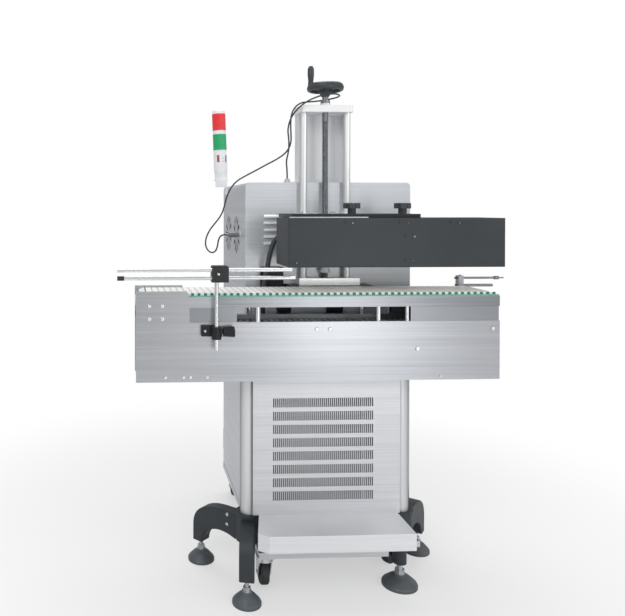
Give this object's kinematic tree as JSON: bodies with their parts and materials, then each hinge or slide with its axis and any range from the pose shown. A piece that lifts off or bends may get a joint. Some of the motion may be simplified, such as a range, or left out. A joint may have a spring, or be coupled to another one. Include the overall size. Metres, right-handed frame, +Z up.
{
  "type": "cap sealing machine",
  "caption": "Induction cap sealer: slat-chain conveyor under a long sealing head on a screw-lift gantry, fixed to a brushed steel cabinet on castors with a signal tower.",
  "frame": {"origin": "on the floor under the middle of the machine's box", "axes": "+Z up, +X along the conveyor towards the outfeed, +Y from the operator's side to the cabinet's rear"},
  "size_m": [1.249, 0.836, 1.601],
  "materials": {
    "brushed_steel": "brushed along the sheet",
    "machined_aluminium": "milled",
    "polished_steel": "polished",
    "screw_steel": "oiled thread",
    "cast_grey": "painted casting",
    "head_grey": "satin powder coat",
    "black_steel": "satin",
    "black_plastic": "fine texture",
    "link_white": "smooth",
    "strip_green": "smooth",
    "rubber_black": "satin",
    "tower_red": "clear moulded",
    "tower_green": "clear moulded",
    "button_green": "moulded",
    "button_red": "moulded",
    "motor_grey": "satin paint",
    "coil_plate": "laminate",
    "cable_grey": "sheathed cable",
    "zinc_steel": "zinc plated"
  },
  "bodies": {
    "frame": {"base_block": "machined_aluminium", "cabinet_base": "brushed_steel", "cabinet_shell": "brushed_steel", "cable_plug": "polished_steel", "capacitors": "motor_grey", "control_panel": "brushed_steel", "conveyor_front_plate": "brushed_steel", "conveyor_pan": "brushed_steel", "conveyor_rear_plate": "brushed_steel", "fan_frames": "black_plastic", "gantry_bracket": "black_steel", "gantry_tower": "brushed_steel", "gear_motor": "motor_grey", "guide_columns": "polished_steel", "head_conduit": "black_plastic", "infeed_clamp": "black_plastic", "leg_base_left": "cast_grey", "leg_base_right": "cast_grey", "nose_guides": "link_white", "power_unit": "motor_grey", "rear_castors": "zinc_steel", "signal_cable": "cable_grey", "slat_chain": "link_white", "spacer_posts": "polished_steel", "stand_tubes": "brushed_steel", "top_plate": "machined_aluminium", "top_rails": "brushed_steel", "tower_housing": "link_white", "tower_lens_green": "tower_green", "tower_lens_red": "tower_red", "tray": "brushed_steel", "vented_front_panel": "brushed_steel", "wear_strips": "strip_green"},
    "screw": {"lead_screw": "screw_steel", "handwheel": "black_plastic"},
    "handle": {"wheel_handle": "black_plastic"},
    "lift": {"carriage": "machined_aluminium", "clamp_plate": "black_steel"},
    "head": {"head_housing": "head_grey", "sealing_coil": "coil_plate"},
    "knob_left": {"star_knob_left": "black_plastic"},
    "knob_right": {"star_knob_right": "black_plastic"},
    "drive": {"drive_shaft": "polished_steel"},
    "idler": {"idler_shaft": "polished_steel"},
    "fan_front": {"fan_rotor_front": "black_plastic"},
    "fan_rear": {"fan_rotor_rear": "black_plastic"},
    "castor_left": {"castor_fork_left": "zinc_steel"},
    "castor_left_wheel": {"castor_wheel_left": "rubber_black"},
    "castor_right": {"castor_fork_right": "zinc_steel"},
    "castor_right_wheel": {"castor_wheel_right": "rubber_black"},
    "front_feet": {"feet_front": "cast_grey"},
    "rear_feet": {"feet_rear": "cast_grey"},
    "guide_post": {"infeed_post": "black_plastic"},
    "guide_rods": {"infeed_rods": "machined_aluminium"},
    "guide_clamp_knob": {"clamp_knob": "black_plastic"},
    "outfeed_guides": {"outfeed_rods": "polished_steel"},
    "door": {"rear_door": "brushed_steel"},
    "start": {"start_button": "button_green"},
    "stop": {"emergency_stop": "button_red"},
    "switch": {"main_switch": "black_plastic"}
  },
  "joints": [
    {"name": "screw_turn", "type": "hinge", "parent": "frame", "child": "screw", "pos_m": [0.0545, -0.096, 1.5], "axis": [0, 0, 1], "range_deg": [-1081, 20161]},
    {"name": "handle_spin", "type": "hinge", "parent": "screw", "child": "handle", "pos_m": [0.0065, -0.096, 1.575], "axis": [0, 0, 1], "continuous": true},
    {"name": "head_lift", "type": "slide", "parent": "frame", "child": "lift", "axis": [0, 0, 1], "range_m": [-0.015, 0.28], "deforming": ["head_conduit"]},
    {"name": "head_reach", "type": "slide", "parent": "lift", "child": "head", "axis": [0, 1, 0], "range_m": [-0.02, 0.02]},
    {"name": "left_knob_turn", "type": "hinge", "parent": "head", "child": "knob_left", "pos_m": [0.0875, -0.256, 1.14], "axis": [0, 0, 1], "continuous": true},
    {"name": "right_knob_turn", "type": "hinge", "parent": "head", "child": "knob_right", "pos_m": [0.2445, -0.256, 1.14], "axis": [0, 0, 1], "continuous": true},
    {"name": "drive_spin", "type": "hinge", "parent": "frame", "child": "drive", "pos_m": [0.4095, -0.246, 0.809], "axis": [0, 1, 0], "continuous": true},
    {"name": "idler_spin", "type": "hinge", "parent": "frame", "child": "idler", "pos_m": [-0.4705, -0.246, 0.809], "axis": [0, 1, 0], "continuous": true},
    {"name": "front_fan_spin", "type": "hinge", "parent": "frame", "child": "fan_front", "pos_m": [-0.1905, 0.098, 1.041], "axis": [1, 0, 0], "continuous": true},
    {"name": "rear_fan_spin", "type": "hinge", "parent": "frame", "child": "fan_rear", "pos_m": [-0.1905, 0.267, 1.041], "axis": [1, 0, 0], "continuous": true},
    {"name": "front_feet_level", "type": "slide", "parent": "frame", "child": "front_feet", "axis": [0, 0, -1], "range_m": [0, 0.02]},
    {"name": "rear_feet_level", "type": "slide", "parent": "frame", "child": "rear_feet", "axis": [0, 0, -1], "range_m": [0, 0.02]},
    {"name": "guide_height", "type": "slide", "parent": "frame", "child": "guide_post", "axis": [0, 0, 1], "range_m": [-0.05, 0.02]},
    {"name": "guide_slide", "type": "slide", "parent": "guide_post", "child": "guide_rods", "axis": [1, 0, 0], "range_m": [-0.04, 0.04]},
    {"name": "clamp_knob_turn", "type": "hinge", "parent": "frame", "child": "guide_clamp_knob", "pos_m": [-0.3055, -0.346, 0.778], "axis": [1, 0, 0], "continuous": true},
    {"name": "outfeed_slide", "type": "slide", "parent": "frame", "child": "outfeed_guides", "axis": [1, 0, 0], "range_m": [-0.06, 0]},
    {"name": "door_swing", "type": "hinge", "parent": "frame", "child": "door", "pos_m": [-0.1985, 0.4, 0.45], "axis": [0, 0, 1], "range_deg": [0, 110]},
    {"name": "start_press", "type": "slide", "parent": "frame", "child": "start", "axis": [0, -1, 0], "range_m": [0, 0.004], "stiffness_N_per_m": 400},
    {"name": "stop_press", "type": "slide", "parent": "frame", "child": "stop", "axis": [0, -1, 0], "range_m": [0, 0.005]},
    {"name": "switch_turn", "type": "hinge", "parent": "frame", "child": "switch", "pos_m": [-0.1205, 0.414, 0.96], "axis": [0, 1, 0], "range_deg": [0, 90]},
    {"name": "left_castor_swivel", "type": "hinge", "parent": "frame", "child": "castor_left", "pos_m": [-0.1835, -0.28, 0.088], "axis": [0, 0, 1], "continuous": true},
    {"name": "left_castor_roll", "type": "hinge", "parent": "castor_left", "child": "castor_left_wheel", "pos_m": [-0.1835, -0.262, 0.0375], "axis": [-1, 0, 0], "continuous": true},
    {"name": "right_castor_swivel", "type": "hinge", "parent": "frame", "child": "castor_right", "pos_m": [0.2335, -0.171, 0.088], "axis": [0, 0, 1], "continuous": true},
    {"name": "right_castor_roll", "type": "hinge", "parent": "castor_right", "child": "castor_right_wheel", "pos_m": [0.24824, -0.16068, 0.0375], "axis": [-0.5736, 0.8192, 0], "continuous": true}
  ],
  "couplings": [
    {"joint": "screw_turn", "follows": "head_lift", "rad_per_m": 1256.6},
    {"joint": "idler_spin", "follows": "drive_spin", "ratio": 1}
  ]
}
